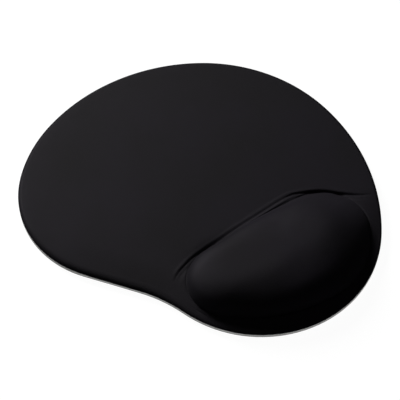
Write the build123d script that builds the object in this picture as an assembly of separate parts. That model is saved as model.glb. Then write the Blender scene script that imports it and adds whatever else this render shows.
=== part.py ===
from build123d import *
from math import cos, hypot, radians, sin
import os

# Mouse pad with a built-in gel wrist rest, laid flat: +Z up, +Y away from the user, +X to the
# right. The origin is on the desk, under the middle of the pad's bounding box. A bonded
# laminate of sheets, from the desk up: grip base, glue, foam, gel cell, glue web, knit cover.

# Thickness of each layer
BASE_T = 1.4
BASE_GLUE_T = 0.15
FOAM_T = 4.05
WEB_T = 0.12
COVER_T = 0.8
FILM_T = 0.25

# Heights above the desk
GLUE_Z = BASE_T
FOAM_Z = GLUE_Z + BASE_GLUE_T
FOAM_TOP_Z = FOAM_Z + FOAM_T
PAD_TOP_Z = FOAM_TOP_Z + COVER_T
COVER_HEM_Z = 3.0
REST_TOP_Z = 21.8

# Rolled upper edge of the pad
EDGE_R = 3.2

# Pad outline, anticlockwise: large mousing area, left corner, hollow waist, rest lobe, flank.
# A radius is positive where the outline bulges and negative where it is hollow.
RIGHT_CENTRE = (1.4, 3.8)
RIGHT_R = 113.8
TOP_R = 134.0
TOP_START_DEG = 56.0
SHOULDER_R = 103.0
CORNER_CENTRE = (-43.3, 38.9)
CORNER_R = 70.7
SIDE_R = -3000.0
WAIST_R = -101.0
WAIST_END_DEG = 197.0
LOBE_CENTRE = (16.1, -39.1)
LOBE_R = 83.1
FLANK_R = 144.0

# Wrist rest footprint, anticlockwise: back edge, left end, front, right end
REST_LEFT_CENTRE = (-28.4, -62.4)
REST_LEFT_R = 26.0
REST_FRONT_CENTRE = (27.5, -61.7)
REST_FRONT_R = 51.5
REST_RIGHT_CENTRE = (48.5, -70.2)
REST_RIGHT_R = 30.5
REST_LEFT_FRONT_R = 104.0
REST_RIGHT_FRONT_R = 80.0
REST_BACK_R = 420.0

# Crown of the wrist rest: curved along its length and, more tightly, across it
CROWN_CENTRE = (11.5, -70.0)
CROWN_LENGTH_R = 235.0
CROWN_WIDTH_R = 88.0
CROWN_EDGE_R = 9.0

# Glue web under the cover stops short of the rolled edge and of the rest
WEB_EDGE_GAP = 6.0
WEB_REST_GAP = 3.0

# The skirt of the rest is drawn well below the pad so that its edge rounding has room
SKIRT_DEPTH = 20.0


def circle_between(first, second, radius, side):
    """The circle of the given signed radius that touches two others."""
    (x1, y1), r1 = first
    (x2, y2), r2 = second
    reach1 = abs(radius - r1)
    reach2 = abs(radius - r2)
    span = hypot(x2 - x1, y2 - y1)
    along = (reach1**2 - reach2**2 + span**2) / (2 * span)
    across = side * (reach1**2 - along**2) ** 0.5
    ux = (x2 - x1) / span
    uy = (y2 - y1) / span
    return ((x1 + ux * along - uy * across, y1 + uy * along + ux * across), radius)


def circle_at(first, angle, radius):
    """The circle of the given signed radius that touches another at a stated angle."""
    (x, y), r = first
    shift = r - radius
    return ((x + shift * cos(radians(angle)), y + shift * sin(radians(angle))), radius)


def touch_point(first, second, inset):
    (x1, y1), r1 = first
    (x2, y2), r2 = second
    x = x1 + (x2 - x1) * r1 / (r1 - r2)
    y = y1 + (y2 - y1) * r1 / (r1 - r2)
    scale = (r1 - inset) / r1
    return Vector(x1 + (x - x1) * scale, y1 + (y - y1) * scale)


def outline_face(circles, inset):
    """A face bounded by arcs of touching circles, moved inwards by inset."""
    edges = []
    for i, circle in enumerate(circles):
        start = touch_point(circles[i - 1], circle, 0)
        end = touch_point(circle, circles[(i + 1) % len(circles)], 0)
        centre = Vector(*circle[0])
        scale = (circle[1] - inset) / circle[1]
        halfway = ((start + end) * 0.5 - centre).normalized() * abs(circle[1] - inset)
        points = (
            centre + (start - centre) * scale,
            centre + halfway,
            centre + (end - centre) * scale,
        )
        edges.append(Edge.make_three_point_arc(*points))
    return Face(Wire(edges))


def pad_circles():
    right = (RIGHT_CENTRE, RIGHT_R)
    top = circle_at(right, TOP_START_DEG, TOP_R)
    corner = (CORNER_CENTRE, CORNER_R)
    shoulder = circle_between(top, corner, SHOULDER_R, -1)
    lobe = (LOBE_CENTRE, LOBE_R)
    waist = circle_at(lobe, WAIST_END_DEG, WAIST_R)
    side = circle_between(corner, waist, SIDE_R, -1)
    flank = circle_between(lobe, right, FLANK_R, 1)
    return [right, top, shoulder, corner, side, waist, lobe, flank]


def rest_circles():
    left = (REST_LEFT_CENTRE, REST_LEFT_R)
    front = (REST_FRONT_CENTRE, REST_FRONT_R)
    right = (REST_RIGHT_CENTRE, REST_RIGHT_R)
    left_front = circle_between(left, front, REST_LEFT_FRONT_R, 1)
    right_front = circle_between(front, right, REST_RIGHT_FRONT_R, 1)
    back = circle_between(right, left, REST_BACK_R, 1)
    return [left, left_front, front, right_front, right, back]


PAD = pad_circles()
REST = rest_circles()


def sheet(circles, inset, bottom, top):
    face = outline_face(circles, inset)
    return extrude(Pos(0, 0, bottom) * face, amount=top - bottom, dir=(0, 0, 1))


def above(shape, height):
    return split(shape, Plane.XY.offset(height), keep=Keep.TOP)


def rolled_slab(inset):
    """The pad with its rolled upper edge, drawn inwards by inset on every face."""
    top = PAD_TOP_Z - inset
    slab = sheet(PAD, inset, -SKIRT_DEPTH, top)
    rim = slab.faces().sort_by(Axis.Z)[-1].edges()
    return fillet(rim, EDGE_R - inset)


def rest_dome(inset):
    """The crowned wrist rest, drawn inwards by inset on every face."""
    skirt = sheet(REST, inset, -SKIRT_DEPTH, REST_TOP_Z + 5)
    x, y = CROWN_CENTRE
    ring = Torus(CROWN_LENGTH_R - CROWN_WIDTH_R, CROWN_WIDTH_R - inset)
    crown = Pos(x, y, REST_TOP_Z - CROWN_LENGTH_R) * Rot(90, 0, 0) * ring
    dome = skirt & crown
    rim = dome.faces().sort_by(Axis.Z)[-1].edges()
    return fillet(rim, CROWN_EDGE_R - inset)


def nonslip_base():
    return sheet(PAD, 0, 0, GLUE_Z)


def base_adhesive():
    return sheet(PAD, 0, GLUE_Z, FOAM_Z)


def cover_adhesive():
    """The glue web of the mousing area: the narrow flange in front of the rest has none."""
    web = sheet(PAD, WEB_EDGE_GAP, FOAM_TOP_Z - WEB_T, FOAM_TOP_Z)
    web -= sheet(REST, -WEB_REST_GAP, 0, REST_TOP_Z)
    return web.solids().sort_by(SortBy.VOLUME)[-1]


def foam_core():
    ledge = sheet(PAD, 0, FOAM_Z, COVER_HEM_Z)
    body = above(rolled_slab(COVER_T), FOAM_Z)
    pocket = sheet(REST, COVER_T, 0, REST_TOP_Z)
    return (ledge + body) - pocket - cover_adhesive()


def gel_seal_film():
    return sheet(REST, COVER_T, FOAM_Z, FOAM_Z + FILM_T)


def barrier_film():
    outer = above(rest_dome(COVER_T), FOAM_Z + FILM_T)
    return outer - above(rest_dome(COVER_T + FILM_T), 0)


def gel_core():
    return above(rest_dome(COVER_T + FILM_T), FOAM_Z + FILM_T)


def fabric_cover():
    outer = above(rolled_slab(0), COVER_HEM_Z) + above(rest_dome(0), COVER_HEM_Z)
    inner = above(rolled_slab(COVER_T), 0) + above(rest_dome(COVER_T), 0)
    return outer - inner


def main():
    os.makedirs("parts", exist_ok=True)
    nodes = {
        "nonslip_base": nonslip_base(),
        "base_adhesive": base_adhesive(),
        "foam_core": foam_core(),
        "cover_adhesive": cover_adhesive(),
        "gel_seal_film": gel_seal_film(),
        "gel_core": gel_core(),
        "barrier_film": barrier_film(),
        "fabric_cover": fabric_cover(),
    }
    centre = nodes["nonslip_base"].bounding_box().center()
    place = Pos(-centre.X, -centre.Y, 0)
    for name, shape in nodes.items():
        export_step(place * shape, f"parts/{name}.step")
        print(name, round(shape.volume, 1), "mm3")


main()
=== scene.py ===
import math

import bmesh
import bpy
import numpy as np
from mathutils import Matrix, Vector


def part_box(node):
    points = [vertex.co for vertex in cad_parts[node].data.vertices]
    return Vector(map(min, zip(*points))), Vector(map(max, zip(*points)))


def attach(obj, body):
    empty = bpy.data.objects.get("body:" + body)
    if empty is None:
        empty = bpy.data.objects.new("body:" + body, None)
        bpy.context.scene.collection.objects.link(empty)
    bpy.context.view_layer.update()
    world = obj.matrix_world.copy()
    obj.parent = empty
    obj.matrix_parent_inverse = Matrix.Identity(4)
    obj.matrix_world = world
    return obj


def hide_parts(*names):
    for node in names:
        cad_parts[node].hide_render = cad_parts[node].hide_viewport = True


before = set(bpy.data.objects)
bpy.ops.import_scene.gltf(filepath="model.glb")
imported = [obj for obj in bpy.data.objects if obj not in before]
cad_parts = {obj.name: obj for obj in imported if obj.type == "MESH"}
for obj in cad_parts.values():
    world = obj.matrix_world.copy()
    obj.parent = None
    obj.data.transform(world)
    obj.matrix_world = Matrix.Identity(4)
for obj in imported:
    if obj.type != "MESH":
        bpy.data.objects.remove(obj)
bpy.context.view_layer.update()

# ---------------------------------------------------------------- sizes, in metres

MM = 0.001
AROUND = 960  # points in every ring
PAD_RINGS = 60
SKIRT_RINGS = 17
REST_RINGS = 64
EDGE_STEPS = 14

COVER_T = 0.8 * MM
FILM_T = 0.25 * MM
WEB_T = 0.12 * MM
GAP = 0.03 * MM  # left between neighbouring layers
HEM_ROOM = 0.1 * MM  # upright part of the cover's edge, between the hem and the roll
WALL_TOP = 2.7 * MM  # top of the upright walls round the gel cell

STITCH_WIDE = 0.00072
STITCH_TALL = 0.00056
DIAMOND = 0.0032  # step of the grip base's raised grid
FLOOR_HALF = 9
FLOOR_DROP = 0.0001

FOAM_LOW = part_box("foam_core")[0][2]
FOAM_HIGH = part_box("foam_core")[1][2]
HEM_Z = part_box("fabric_cover")[0][2]
REST_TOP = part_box("fabric_cover")[1][2]
PAD_TOP = FOAM_HIGH + COVER_T
CELL_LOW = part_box("gel_seal_film")[1][2]

# The rings of every piece run round this point, under the crown of the rest
rest_low, rest_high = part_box("gel_seal_film")
APEX = np.array([
    0.46 * rest_low[0] + 0.54 * rest_high[0],
    0.42 * rest_low[1] + 0.58 * rest_high[1],
])

# Crease pressed into the pad behind the rest, in mm
CREASE = [(-60.5, -45), (-53, -40.2), (-44.5, -37.2), (-33.5, -35), (-9, -34.2), (19, -33.9),
          (41.5, -34.1), (51.5, -36.7), (63.5, -43.7), (76, -55.1), (84.5, -62.3), (93.5, -67.9)]

# Depths and heights along the crease, in mm, by their x in mm
CREASE_AT = [-58, -48, -32, -14, 12, 40, 52, 76, 84, 92]
GROOVE = [0, 0.26, 0.28, 0.14, 0.08, 0.12, 0.6, 0.85, 0.5, 0]
LIP = [0, 0.20, 0.16, 0.14, 0.16, 0.16, 0.10, 0.05, 0, 0]
BEAD = [0, 0, 0, 0.10, 0.24, 0.26, 0, 0, 0, 0]
VALLEY = [0, 0.3, 0.2, 0.1, 0, 0, 0.5, 0.6, 0.2, 0]

# Middle and width of the lip, bead and valley across the crease, in mm, positive behind it
LIP_ACROSS = (1.9, 1.2)
BEAD_ACROSS = (-1.8, 0.9)
VALLEY_ACROSS = (-2.2, 1.7)

# The broad dent between the crease and the rest's left: depth, then middle and width, in mm
DENT = 1.3
DENT_ALONG = (-25, 15)
DENT_ACROSS = (-2.5, 4.5)

# Width of the rolled edge and rise of the hem above its lowest place, in mm, by bearing
ROLL_AT = [0, 20, 150, 180, 214, 236, 255, 274, 295, 335, 360]
ROLL = [3.2, 3.2, 3.2, 5.4, 6.0, 4.7, 4.0, 2.3, 2.0, 2.6, 3.2]
HEM_RISE = [0.3, 0, 0, 0, 0, 0, 0, 0, 0.6, 0.7, 0.3]

# How far the pad's face falls to its edge, and how wide that slope is, in mm, by bearing
FALL_AT = [0, 158, 176, 222, 238, 252, 282, 312, 320, 326, 360]
FALL = [0, 0, 0.7, 1.0, 2.0, 2.1, 1.8, 1.1, 0.6, 0, 0]
FALL_WIDTH = [16, 16, 16, 14, 11, 10, 9, 9, 9, 12, 16]
FALL_POWER = 1.4

# How far the rest's foot is drawn in at the back, in mm, by its x in mm
FOLD_AT = [-46, -28, -12, 10, 30, 50]
FOLD = [0, 2.0, 1.9, 1.3, 0.5, 0]

# How much deeper the groove at the rest's foot is at the back right, in mm, by ray angle
DROP_AT = [0, 30, 60, 110, 300, 360]
DROP = [0, 0.8, 1.6, 0, 0, 0]

# Rings close round the rest's foot: width in mm, what the back adds to it, and the largest
# share they may take of the way to the pad's edge
SKIRT, SKIRT_BACK, SKIRT_SHARE = 2.5, 2.0, 0.6

# Fullness and steepness of the rest's swell: in the middle, then what the left and right add
FULL_FRONT, FULL_BACK = (0.95, 0.3, 0), (3.0, 0, -1.9)
STEEP_FRONT, STEEP_BACK = (0.38, 0.28, 0.36), (0.5, 0, 0.66)
BACK_LOWER = 0.18

angles = np.linspace(0, 2 * math.pi, AROUND, endpoint=False)
rays = np.stack([np.cos(angles), np.sin(angles)], axis=1)


# ---------------------------------------------------------------- rings and curves

def smooth_step(low, high, value):
    """A smooth climb from 0 at low to 1 at high."""
    t = np.clip((value - low) / (high - low), 0, 1)
    return t * t * (3 - 2 * t)


def bell(value, middle, width):
    """A smooth bump of height 1."""
    return np.exp(-((value - middle) / width) ** 2)


def ring_smooth(values, steps=6):
    """Gaussian smoothing round a closed ring."""
    waves = np.fft.rfft(values, axis=0)
    k = np.arange(len(waves))
    fade = np.exp(-0.5 * (2 * math.pi * k * steps / len(values)) ** 2)
    if values.ndim > 1:
        fade = fade[:, None]
    return np.fft.irfft(waves * fade, n=len(values), axis=0)


def outline_of(node):
    """The outline of a part's underside, as one point on each ray from the apex."""
    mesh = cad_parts[node].data
    co = np.empty(len(mesh.vertices) * 3)
    mesh.vertices.foreach_get("co", co)
    co = co.reshape(-1, 3)
    low = co[:, 2] < co[:, 2].min() + 0.01 * MM
    offset = co[low][:, :2] - APEX
    turn = np.arctan2(offset[:, 1], offset[:, 0]) % (2 * math.pi)
    order = np.argsort(turn)
    reach = np.hypot(offset[order, 0], offset[order, 1])
    reach = np.interp(angles, turn[order], reach, period=2 * math.pi)
    return APEX + rays * ring_smooth(reach, 3.0)[:, None]


def ring_normals(ring):
    """Level directions out of a closed ring."""
    along = np.roll(ring, -1, axis=0) - np.roll(ring, 1, axis=0)
    out = np.stack([along[:, 1], -along[:, 0]], axis=1)
    return out / np.linalg.norm(out, axis=1, keepdims=True)


def spline_points(points, per_span):
    """Points along a Catmull-Rom curve through the given ones."""
    p = np.array(points, float)
    p = np.vstack([2 * p[0] - p[1], p, 2 * p[-1] - p[-2]])
    t = np.linspace(0, 1, per_span, endpoint=False)[:, None]
    spans = []
    for a, b, c, d in zip(p[:-3], p[1:-2], p[2:-1], p[3:]):
        spans.append(0.5 * (2 * b + (c - a) * t + (2 * a - 5 * b + 4 * c - d) * t ** 2
                            + (3 * b - 3 * c + d - a) * t ** 3))
    return np.vstack(spans)


def nearest(points, curve, batch=4000):
    """Distance from each point to a curve, and the index of the nearest curve point."""
    gap = np.empty(len(points))
    index = np.empty(len(points), int)
    for start in range(0, len(points), batch):
        part = points[start:start + batch]
        far = np.hypot(part[:, None, 0] - curve[None, :, 0], part[:, None, 1] - curve[None, :, 1])
        index[start:start + batch] = far.argmin(axis=1)
        gap[start:start + batch] = far.min(axis=1)
    return gap, index


pad_ring = outline_of("nonslip_base")
pad_out = ring_normals(pad_ring)
bearing = np.degrees(np.arctan2(pad_ring[:, 1], pad_ring[:, 0])) % 360
roll = ring_smooth(np.interp(bearing, ROLL_AT, ROLL)) * MM
hem = HEM_Z + ring_smooth(np.interp(bearing, ROLL_AT, HEM_RISE)) * MM
inner_rim = pad_ring - pad_out * roll[:, None]
cell_ring = outline_of("gel_seal_film")
cell_out = ring_normals(cell_ring)
rest_ring = cell_ring + cell_out * COVER_T
rest_out = ring_normals(rest_ring)
crease_line = spline_points(CREASE, 30) * MM
back_side = ring_smooth(smooth_step(-0.1, 0.75, rest_out[:, 1]), 8)
fold_in = np.interp(rest_ring[:, 0] / MM, FOLD_AT, FOLD) * back_side
fold_ring = rest_ring - rest_out * (ring_smooth(fold_in, 10) * MM)[:, None]
foot_drop = np.interp(np.degrees(angles), DROP_AT, DROP)
foot_drop = ring_smooth(foot_drop * smooth_step(46 * MM, 66 * MM, rest_ring[:, 0]), 10)


# ---------------------------------------------------------------- the swell of the rest

def inflate_skin(rings=26, spokes=96, scale=10, frames=24):
    """Blows up a cloth skin pinned round the rest's outline, and returns its ring grid."""
    ring = rest_ring[::AROUND // spokes]
    start = 10 * MM
    verts = []
    for k in range(rings):
        rho = 1 - k / rings
        swell = start * (1 - rho ** 2)
        verts.append(np.column_stack([APEX + (ring - APEX) * rho, np.full(spokes, swell)]))
    verts = np.vstack(verts + [np.array([[APEX[0], APEX[1], start]])]) * scale
    faces = []
    for k in range(rings - 1):
        for j in range(spokes):
            a, b = k * spokes + j, k * spokes + (j + 1) % spokes
            faces.append((a, b, b + spokes, a + spokes))
    for j in range(spokes):
        last = (rings - 1) * spokes
        faces.append((last + j, last + (j + 1) % spokes, rings * spokes))
    mesh = bpy.data.meshes.new("skin")
    mesh.from_pydata(verts.tolist(), [], faces)
    skin = bpy.data.objects.new("skin", mesh)
    bpy.context.scene.collection.objects.link(skin)
    held = skin.vertex_groups.new(name="held")
    held.add(list(range(spokes)), 1.0, "REPLACE")
    cloth = skin.modifiers.new("cloth", "CLOTH")
    cloth.settings.effector_weights.gravity = 0
    cloth.settings.use_pressure = True
    cloth.settings.uniform_pressure_force = 60
    cloth.settings.vertex_group_mass = "held"
    cloth.settings.quality = 5
    cloth.settings.shrink_min = -0.02
    cloth.collision_settings.use_collision = False
    cloth.point_cache.frame_start = 1
    cloth.point_cache.frame_end = frames
    for step in range(1, frames + 1):
        bpy.context.scene.frame_set(step)
    result = skin.evaluated_get(bpy.context.evaluated_depsgraph_get()).data
    co = np.empty(len(result.vertices) * 3)
    result.vertices.foreach_get("co", co)
    bpy.data.objects.remove(skin)
    bpy.data.meshes.remove(mesh)
    bpy.context.scene.frame_set(1)
    return co.reshape(-1, 3)[:-1].reshape(rings, spokes, 3) / scale


def swell_shares(grid, rho, orders=9, terms=4):
    """The skin's height as a smooth share of its highest, at other distances and every ray."""
    rings, spokes = grid.shape[:2]
    grid_rho = 1 - np.arange(rings) / rings
    waves = np.fft.rfft(grid[:, :, 2], axis=1)
    smooth = np.zeros((len(rho), AROUND // 2 + 1), complex)
    for m in range(orders):
        powers = np.arange(terms) * 2 + m
        basis = grid_rho[:, None] ** powers
        weights = np.linalg.lstsq(basis, waves[:, m], rcond=None)[0]
        smooth[:, m] = rho[:, None] ** powers @ weights
    share = np.fft.irfft(smooth, n=AROUND, axis=1) * AROUND / spokes
    return np.clip(share / share.max(), 0, 1)


# ---------------------------------------------------------------- the formed surface

def graded(count, pull):
    """Fractions from 0 to 1 that start close together."""
    s = np.linspace(0, 1, count)
    return (np.exp(pull * s) - 1) / (math.exp(pull) - 1)


def pad_height(points):
    """Height of the pad's face, with its slope to the edge round the waist and the rest."""
    gap, index = nearest(points, inner_rim)
    drop = ring_smooth(np.interp(bearing, FALL_AT, FALL))[index] * MM
    width = ring_smooth(np.interp(bearing, FALL_AT, FALL_WIDTH))[index] * MM
    return PAD_TOP - drop * np.clip(1 - gap / width, 0, 1) ** FALL_POWER


def crease_height(points):
    """The crease, with the lip, bead, valley and dent beside it, and the groove at the rest's foot."""
    gap, index = nearest(points, crease_line)
    at = crease_line[index, 0] / MM
    tangent = np.gradient(crease_line, axis=0)
    side = np.sign(tangent[index, 0] * (points[:, 1] - crease_line[index, 1])
                   - tangent[index, 1] * (points[:, 0] - crease_line[index, 0]))
    across = gap * side / MM
    groove, lip, bead, valley = (np.interp(at, CREASE_AT, row) for row in (GROOVE, LIP, BEAD, VALLEY))
    height = lip * bell(across, *LIP_ACROSS) - groove * bell(across, 0, 0.7 + 0.5 * groove)
    height += bead * bell(across, *BEAD_ACROSS) - valley * bell(across, *VALLEY_ACROSS)
    height -= DENT * bell(at, *DENT_ALONG) * bell(across, *DENT_ACROSS)
    foot, ray = nearest(points, fold_ring)
    deep = foot_drop[ray]
    height -= (0.12 + 0.12 * back_side[ray] + deep) * bell(foot / MM, 0, 0.8 + 0.8 * deep)
    return height * MM


def varied(behind, left, right, front, back):
    """A blend of a front and a back value, each with what the left and the right add to it."""
    middle, to_left, to_right = front
    value = (1 - behind) * (middle + to_left * left + to_right * right)
    middle, to_left, to_right = back
    return value + behind * (middle + to_left * left + to_right * right)


def formed_surface():
    """Rings over the cover's outer face, from the rolled rim in to the apex.

    Also gives the number of rings out to the foot of the rest.
    """
    room = nearest(fold_ring, inner_rim)[0]
    reach = ring_smooth(np.minimum((SKIRT + SKIRT_BACK * back_side) * MM, SKIRT_SHARE * room))
    skirt = fold_ring + rest_out * reach[:, None]
    plan = [skirt + (inner_rim - skirt) * t for t in graded(PAD_RINGS, 2.4)[::-1]]
    plan += [fold_ring + (skirt - fold_ring) * t for t in np.linspace(1, 0, SKIRT_RINGS)[1:]]
    outer = len(plan)
    rho = 1 - graded(REST_RINGS, 3.2)[:-1]
    plan += [APEX + (fold_ring - APEX) * r for r in rho[1:]]
    plan = np.array(plan)
    flat = plan[:outer].reshape(-1, 2)
    height = np.zeros(plan.shape[:2])
    height[:outer] = (pad_height(flat) + crease_height(flat)).reshape(outer, AROUND)
    share = swell_shares(inflate_skin(), rho)
    share[0] = 0
    behind = smooth_step(-24, 36, (plan[outer - 1:, :, 1] - rest_ring[:, 1].mean()) / MM)
    x = plan[outer - 1:, :, 0] / MM
    right = smooth_step(0, 70, x)
    left = 1 - smooth_step(-52, -18, x)
    full = varied(behind, left, right, FULL_FRONT, FULL_BACK)
    steep = varied(behind, left, right, STEEP_FRONT, STEEP_BACK)
    rise = (1 - (1 - share) ** full) ** steep * (1 - BACK_LOWER * behind)
    rise /= rise.max()
    level = height[outer - 1].mean()
    foot = level + (height[outer - 1] - level) * rho[:, None] ** 2
    height[outer - 1:] = foot + (REST_TOP - foot) * rise
    return np.concatenate([plan, height[:, :, None]], axis=2), outer


surface, foot_ring = formed_surface()
rest_band = slice(None, foot_ring - 2, -2)  # every other ring, from the crown to the rest's foot
surface[:, :, 2] = np.minimum(surface[:, :, 2], REST_TOP)
crown = np.array([APEX[0], APEX[1], surface[-1, :, 2].mean()])


def grid_normals(grid, tip, passes=4):
    """Upward normals of a ring grid that closes at a tip."""
    inward = np.gradient(np.concatenate([grid, np.broadcast_to(tip, grid[:1].shape)]), axis=0)
    around = np.roll(grid, -1, axis=1) - np.roll(grid, 1, axis=1)
    normal = np.cross(around, inward[:-1])
    for _ in range(passes):
        normal /= np.linalg.norm(normal, axis=2, keepdims=True)
        normal = normal + np.roll(normal, 1, axis=1) + np.roll(normal, -1, axis=1)
        inner = normal[:-2] + normal[1:-1] + normal[2:]
        normal = np.concatenate([normal[:1], inner, normal[-1:]])
    return normal / np.linalg.norm(normal, axis=2, keepdims=True)


normals = grid_normals(surface, crown)
normals[0] = (0, 0, 1)


def under(depth):
    """The formed surface moved inwards by a thickness."""
    return surface - normals * depth


# ---------------------------------------------------------------- mesh building

def turned(name, rings, start=None, end=None, every=1):
    """A closed piece from rings in order: it closes at two tips, or on itself."""
    rings = [np.asarray(ring)[::every] for ring in rings]
    count = len(rings[0])
    verts = np.vstack(rings)
    step = np.arange(count)
    nxt = (step + 1) % count
    pairs = [(k, k + 1) for k in range(len(rings) - 1)]
    if start is None:
        pairs.append((len(rings) - 1, 0))
    faces = []
    for a, b in pairs:
        quad = [a * count + step, a * count + nxt, b * count + nxt, b * count + step]
        faces += np.stack(quad, axis=1).tolist()
    if start is not None:
        last = len(verts) - count
        verts = np.vstack([verts, start, end])
        faces += np.stack([nxt, step, np.full(count, len(verts) - 2)], axis=1).tolist()
        faces += np.stack([last + step, last + nxt, np.full(count, len(verts) - 1)], axis=1).tolist()
    mesh = bpy.data.meshes.new(name)
    mesh.from_pydata(verts.tolist(), [], faces)
    shell = bmesh.new()
    shell.from_mesh(mesh)
    bmesh.ops.recalc_face_normals(shell, faces=shell.faces)
    shell.to_mesh(mesh)
    shell.free()
    mesh.shade_smooth()
    piece = bpy.data.objects.new(name, mesh)
    bpy.context.scene.collection.objects.link(piece)
    return piece


def raised(ring, z):
    """A flat ring lifted to one height, or to a height for each point."""
    return np.column_stack([ring, np.broadcast_to(z, (len(ring),))])


def rolled_rim(inset, low, steps):
    """Rings up the rolled edge, at an inset inside it, from a low ring to the flat face."""
    top = surface[0, :, 2]
    tall = np.minimum(roll, top - hem - HEM_ROOM)
    rings = [raised(pad_ring - pad_out * inset, low)]
    for turn in np.linspace(0, math.pi / 2, steps)[:-1]:
        out = roll - (roll - inset) * math.cos(turn)
        z = top - tall + (tall - inset) * math.sin(turn)
        rings.append(raised(pad_ring - pad_out * out[:, None], z))
    return rings


def tip(depth):
    """The point that closes a layer at the crown."""
    return crown - np.array([0, 0, depth])


def knit_cover():
    """The fabric skin, from its hem over the rolled rim, the pad and the rest."""
    outside = rolled_rim(0, hem, EDGE_STEPS) + list(surface)
    inside = rolled_rim(COVER_T, hem, EDGE_STEPS) + list(under(COVER_T))
    return turned("knit_cover", outside[::-1] + inside, crown, tip(COVER_T))


def pad_foam():
    """The foam slab, with its cut edge, its rolled top and the pocket for the gel."""
    inset = COVER_T + GAP
    depth = COVER_T + WEB_T + 2 * GAP
    edge = [raised(pad_ring, FOAM_LOW + GAP), raised(pad_ring, hem - GAP)]
    body = rolled_rim(inset, hem - GAP, 8)[:-1]
    top = list(under(depth)[:foot_ring:2])
    pocket = cell_ring + cell_out * 0.1 * MM
    wall = [raised(pocket, z) for z in (WALL_TOP, FOAM_LOW + GAP)]
    return turned("pad_foam", edge + body + top + wall, every=2)


def glue_web():
    """The bonding web under the face, which stops short of the rim and of the rest."""
    band = slice(4, foot_ring - 7, 2)
    upper = under(COVER_T + GAP)[band]
    lower = under(COVER_T + GAP + WEB_T)[band]
    return turned("glue_web", list(upper) + list(lower[::-1]), every=2)


def cell_film():
    """The film that holds the gel, bonded inside the cover over the whole rest."""
    out, into = COVER_T + GAP, COVER_T + FILM_T
    over = list(under(out)[rest_band])
    inside = list(under(into)[rest_band])
    wall = [raised(cell_ring - cell_out * GAP, z) for z in (WALL_TOP, CELL_LOW + GAP)]
    lining = [raised(cell_ring - cell_out * FILM_T, z) for z in (CELL_LOW + GAP, WALL_TOP)]
    return turned("cell_film", over + wall + lining + inside[::-1], tip(out), tip(into), every=2)


def gel_fill():
    """The gel, from the seal film up to the film over it."""
    depth = COVER_T + FILM_T + GAP
    over = list(under(depth)[rest_band])
    side = cell_ring - cell_out * (FILM_T + GAP)
    wall = [raised(side, z) for z in (WALL_TOP, CELL_LOW + GAP)]
    floor_tip = np.array([APEX[0], APEX[1], CELL_LOW + GAP])
    base = [raised(APEX + (side - APEX) * r, CELL_LOW + GAP) for r in (0.7, 0.35)]
    return turned("gel_fill", over + wall + base, tip(depth), floor_tip, every=2)


cover = knit_cover()
foam = pad_foam()
web = glue_web()
film = cell_film()
gel = gel_fill()


# ---------------------------------------------------------------- camera and light

scene = bpy.context.scene
scene.view_settings.view_transform = "Standard"

AZIMUTH = math.radians(-36)
ELEVATION = math.radians(57)
DISTANCE = 0.792
TARGET = Vector((-0.00375, 0.00195, 0))

toward_camera = Vector((
    math.sin(AZIMUTH) * math.cos(ELEVATION),
    -math.cos(AZIMUTH) * math.cos(ELEVATION),
    math.sin(ELEVATION),
))
camera_data = bpy.data.cameras.new("camera")
camera_data.lens = 103.5
camera_data.sensor_width = 36
camera_data.clip_start = 0.01
camera_data.clip_end = 40
camera = bpy.data.objects.new("camera", camera_data)
camera.location = TARGET + toward_camera * DISTANCE
camera.rotation_mode = "QUATERNION"
camera.rotation_quaternion = toward_camera.to_track_quat("Z", "Y")
scene.collection.objects.link(camera)
scene.camera = camera


def softbox(name, bearing, lift, distance, width, tall, power):
    """A rectangular light aimed at the object. Bearings run from the camera's right."""
    turn = math.radians(bearing) + AZIMUTH
    rise = math.radians(lift)
    away = Vector((
        math.cos(turn) * math.cos(rise),
        math.sin(turn) * math.cos(rise),
        math.sin(rise),
    ))
    data = bpy.data.lights.new(name, "AREA")
    data.shape = "RECTANGLE"
    data.size = width
    data.size_y = tall
    data.energy = power
    lamp = bpy.data.objects.new(name, data)
    lamp.location = away * distance
    lamp.rotation_mode = "QUATERNION"
    lamp.rotation_quaternion = away.to_track_quat("Z", "Y")
    scene.collection.objects.link(lamp)


softbox("key", bearing=127, lift=24, distance=4.5, width=2.0, tall=1.2, power=366)
softbox("fill", bearing=90, lift=88, distance=4.0, width=3.0, tall=3.0, power=10)

world = bpy.data.worlds.new("studio")
scene.world = world
world.use_nodes = True
sky = world.node_tree.nodes["Background"].inputs
sky["Color"].default_value = (1, 1, 1, 1)
sky["Strength"].default_value = 1.0
world.cycles_visibility.diffuse = False
world.cycles_visibility.glossy = False


# ---------------------------------------------------------------- materials

def material(name):
    """A new node material, with its nodes, its links and its shader."""
    made = bpy.data.materials.new(name)
    made.use_nodes = True
    return made, made.node_tree.nodes, made.node_tree.links, made.node_tree.nodes["Principled BSDF"]


def coordinates(nodes, links):
    """Object coordinates, as a vector and as three separate numbers."""
    place = nodes.new("ShaderNodeTexCoord").outputs["Object"]
    parts = nodes.new("ShaderNodeSeparateXYZ")
    links.new(place, parts.inputs[0])
    return place, parts.outputs["X"], parts.outputs["Y"], parts.outputs["Z"]


def sum_up(nodes, links, kind, *values):
    """A math node of the given kind, with sockets or numbers as its inputs."""
    node = nodes.new("ShaderNodeMath")
    node.operation = kind
    for socket, value in zip(node.inputs, values):
        if isinstance(value, (int, float)):
            socket.default_value = value
        else:
            links.new(value, socket)
    return node.outputs[0]


def noise(nodes, links, place, size, detail=3.0):
    """A noise that has lumps of the given size, in metres."""
    node = nodes.new("ShaderNodeTexNoise")
    node.inputs["Scale"].default_value = 1 / size
    node.inputs["Detail"].default_value = detail
    links.new(place, node.inputs["Vector"])
    return node.outputs[0]


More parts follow.
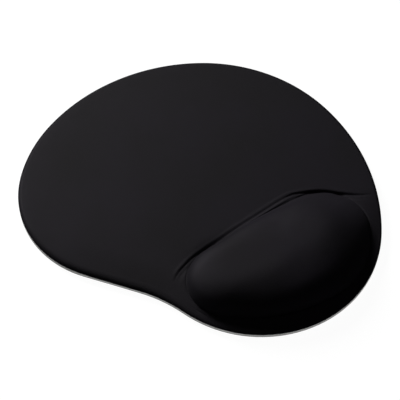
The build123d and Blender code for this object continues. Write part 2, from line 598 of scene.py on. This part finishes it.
def cells(nodes, links, place, size, feature="F1"):
    """Distances in a pattern of cells of the given size, in metres."""
    node = nodes.new("ShaderNodeTexVoronoi")
    node.feature = feature
    node.inputs["Scale"].default_value = 1 / size
    links.new(place, node.inputs["Vector"])
    return node.outputs["Distance"]


def spread(nodes, links, value, low, high, out_low, out_high):
    """A value carried from one range to another and held inside it."""
    node = nodes.new("ShaderNodeMapRange")
    links.new(value, node.inputs["Value"])
    for socket, number in zip(node.inputs[1:5], (low, high, out_low, out_high)):
        socket.default_value = number
    return node.outputs["Result"]


def blend(nodes, links, factor, first, second):
    """A colour between two others."""
    node = nodes.new("ShaderNodeMix")
    node.data_type = "RGBA"
    links.new(factor, node.inputs[0])
    node.inputs[6].default_value = (*first, 1)
    node.inputs[7].default_value = (*second, 1)
    return node.outputs[2]


def relief(nodes, links, shader, height, distance, strength):
    """Joins a height to the shader as bump, with its depth in metres."""
    node = nodes.new("ShaderNodeBump")
    node.inputs["Distance"].default_value = distance
    node.inputs["Strength"].default_value = strength
    links.new(height, node.inputs["Height"])
    links.new(node.outputs["Normal"], shader.inputs["Normal"])


def knit_fabric():
    """Black stretch knit: small V stitches and a soft, faintly violet gloss, duller at an angle."""
    made, nodes, links, shader = material("knit_fabric")
    place, x, y, z = coordinates(nodes, links)
    wale = sum_up(nodes, links, "MULTIPLY", x, 1 / STITCH_WIDE)
    course = sum_up(
        nodes, links, "MULTIPLY", sum_up(nodes, links, "SUBTRACT", y, z), 1 / STITCH_TALL)
    lean = sum_up(nodes, links, "PINGPONG", wale, 0.5)
    legs = sum_up(nodes, links, "SINE", sum_up(
        nodes, links, "MULTIPLY", sum_up(nodes, links, "ADD", course, lean), 2 * math.pi))
    ribs = sum_up(nodes, links, "SINE", sum_up(nodes, links, "MULTIPLY", wale, 2 * math.pi))
    stitch = sum_up(nodes, links, "ADD", sum_up(nodes, links, "MULTIPLY", ribs, 0.5), legs)
    fibre = noise(nodes, links, place, 0.0004, 2)
    weave = sum_up(nodes, links, "ADD", stitch, sum_up(nodes, links, "MULTIPLY", fibre, 1.2))
    grain = noise(nodes, links, place, 0.0016, 2)
    weave = sum_up(nodes, links, "ADD", weave, sum_up(nodes, links, "MULTIPLY", grain, 2.5))
    relief(nodes, links, shader, weave, 0.00004, 0.5)
    worn = noise(nodes, links, place, 0.055, 3)
    tone = spread(nodes, links, worn, 0.35, 0.65, 0, 1)
    links.new(blend(nodes, links, tone, (0.0028, 0.0026, 0.0031), (0.0035, 0.0029, 0.0048)),
              shader.inputs["Base Color"])
    facing = nodes.new("ShaderNodeLayerWeight").outputs["Facing"]
    rough = spread(nodes, links, worn, 0.3, 0.7, 0.71, 0.68)
    nap = spread(nodes, links, facing, 0.22, 0.66, 0, 0.28)
    links.new(sum_up(nodes, links, "ADD", rough, nap), shader.inputs["Roughness"])
    shader.inputs["Specular IOR Level"].default_value = 0.12
    shader.inputs["Specular Tint"].default_value = (0.96, 0.88, 1.0, 1)
    return made


def cut_foam():
    """Fine grey foam: small cells, with painted shade darkening each cell towards its sunken middle.
    """
    made, nodes, links, shader = material("foam")
    place = coordinates(nodes, links)[0]
    pores = cells(nodes, links, place, 0.00045)
    # painted shade: the colour darkens towards each cell's middle, where the bump sinks it
    shade = spread(nodes, links, pores, 0.1, 0.6, 0, 1)
    links.new(blend(nodes, links, shade, (0.36, 0.36, 0.36), (0.50, 0.50, 0.49)),
              shader.inputs["Base Color"])
    relief(nodes, links, shader, pores, 0.0001, 0.6)
    links.new(spread(nodes, links, pores, 0, 0.7, 0.95, 0.82), shader.inputs["Roughness"])
    shader.inputs["Specular IOR Level"].default_value = 0.2
    return made


def grip_rubber():
    """Grey foamed rubber with a raised diamond grid and a fine grain."""
    made, nodes, links, shader = material("grip_rubber")
    place, x, y = coordinates(nodes, links)[:3]
    lines = []
    for kind in ("ADD", "SUBTRACT"):
        across = sum_up(nodes, links, "MULTIPLY", sum_up(nodes, links, kind, x, y), 1 / DIAMOND)
        lines.append(sum_up(nodes, links, "PINGPONG", across, 0.5))
    ridge = spread(nodes, links, sum_up(nodes, links, "MINIMUM", *lines), 0.05, 0.14, 1, 0)
    grain = noise(nodes, links, place, 0.0005, 4)
    raised_grain = sum_up(nodes, links, "ADD", ridge, sum_up(nodes, links, "MULTIPLY", grain, 0.5))
    relief(nodes, links, shader, raised_grain, 0.00015, 0.7)
    shade = spread(nodes, links, grain, 0.3, 0.7, 0, 1)
    links.new(blend(nodes, links, shade, (0.30, 0.30, 0.30), (0.38, 0.38, 0.375)),
              shader.inputs["Base Color"])
    links.new(spread(nodes, links, ridge, 0, 1, 0.85, 0.68), shader.inputs["Roughness"])
    shader.inputs["Specular IOR Level"].default_value = 0.3
    return made


def mottled(name, dark, light, roughness, size, depth, feature="F1"):
    """A layer with a cellular mottle in its colour, its gloss and its relief."""
    made, nodes, links, shader = material(name)
    place = coordinates(nodes, links)[0]
    pattern = cells(nodes, links, place, size, feature)
    shade = spread(nodes, links, pattern, 0, 0.6, 0, 1)
    links.new(blend(nodes, links, shade, dark, light), shader.inputs["Base Color"])
    links.new(spread(nodes, links, pattern, 0, 0.7, roughness + 0.08, roughness - 0.05),
              shader.inputs["Roughness"])
    relief(nodes, links, shader, pattern, depth, 0.4)
    return made


def dress(piece, made):
    """Puts one material on a piece."""
    piece.data.materials.clear()
    piece.data.materials.append(made)


film_look = mottled("cell_film", (0.50, 0.51, 0.52), (0.58, 0.59, 0.60), 0.22, 0.006, 0.0001)
dress(cover, knit_fabric())
dress(foam, cut_foam())
dress(web, mottled("glue_web", (0.66, 0.64, 0.59), (0.54, 0.52, 0.47), 0.6, 0.0011, 0.0001,
                   "DISTANCE_TO_EDGE"))
dress(film, film_look)
dress(gel, mottled("gel", (0.46, 0.48, 0.50), (0.38, 0.40, 0.42), 0.16, 0.0035, 0.00008))
dress(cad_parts["nonslip_base"], grip_rubber())
dress(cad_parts["base_adhesive"],
      mottled("glue_film", (0.46, 0.45, 0.42), (0.54, 0.53, 0.50), 0.5, 0.0009, 0.00005))
dress(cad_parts["gel_seal_film"], film_look)

floor_mesh = bpy.data.meshes.new("floor")
corners = [(x * FLOOR_HALF, y * FLOOR_HALF, 0) for x, y in ((-1, -1), (1, -1), (1, 1), (-1, 1))]
floor_mesh.from_pydata(corners, [], [(0, 1, 2, 3)])
floor = bpy.data.objects.new("floor", floor_mesh)
floor.location = (0, 0, -FLOOR_DROP)
scene.collection.objects.link(floor)
floor_made, floor_nodes, floor_links, floor_shader = material("floor")
floor_shader.inputs["Base Color"].default_value = (0.05, 0.05, 0.05, 1)
floor_shader.inputs["Emission Color"].default_value = (1, 1, 1, 1)
floor_shader.inputs["Emission Strength"].default_value = 0.96
underneath = floor_nodes.new("ShaderNodeNewGeometry")
clear = floor_nodes.new("ShaderNodeBsdfTransparent")
one_way = floor_nodes.new("ShaderNodeMixShader")
floor_links.new(underneath.outputs["Backfacing"], one_way.inputs[0])
floor_links.new(floor_shader.outputs[0], one_way.inputs[1])
floor_links.new(clear.outputs[0], one_way.inputs[2])
floor_links.new(one_way.outputs[0], floor_nodes["Material Output"].inputs["Surface"])
dress(floor, floor_made)
floor.visible_glossy = False


# ---------------------------------------------------------------- pieces on the root body, in place of their CAD parts

for piece, slot, node in (
    (cover, "knit_fabric", "fabric_cover"),
    (foam, "foam", "foam_core"),
    (web, "glue_web", "cover_adhesive"),
    (film, "cell_film", "barrier_film"),
    (gel, "gel", "gel_core"),
):
    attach(piece, "root")
    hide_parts(node)
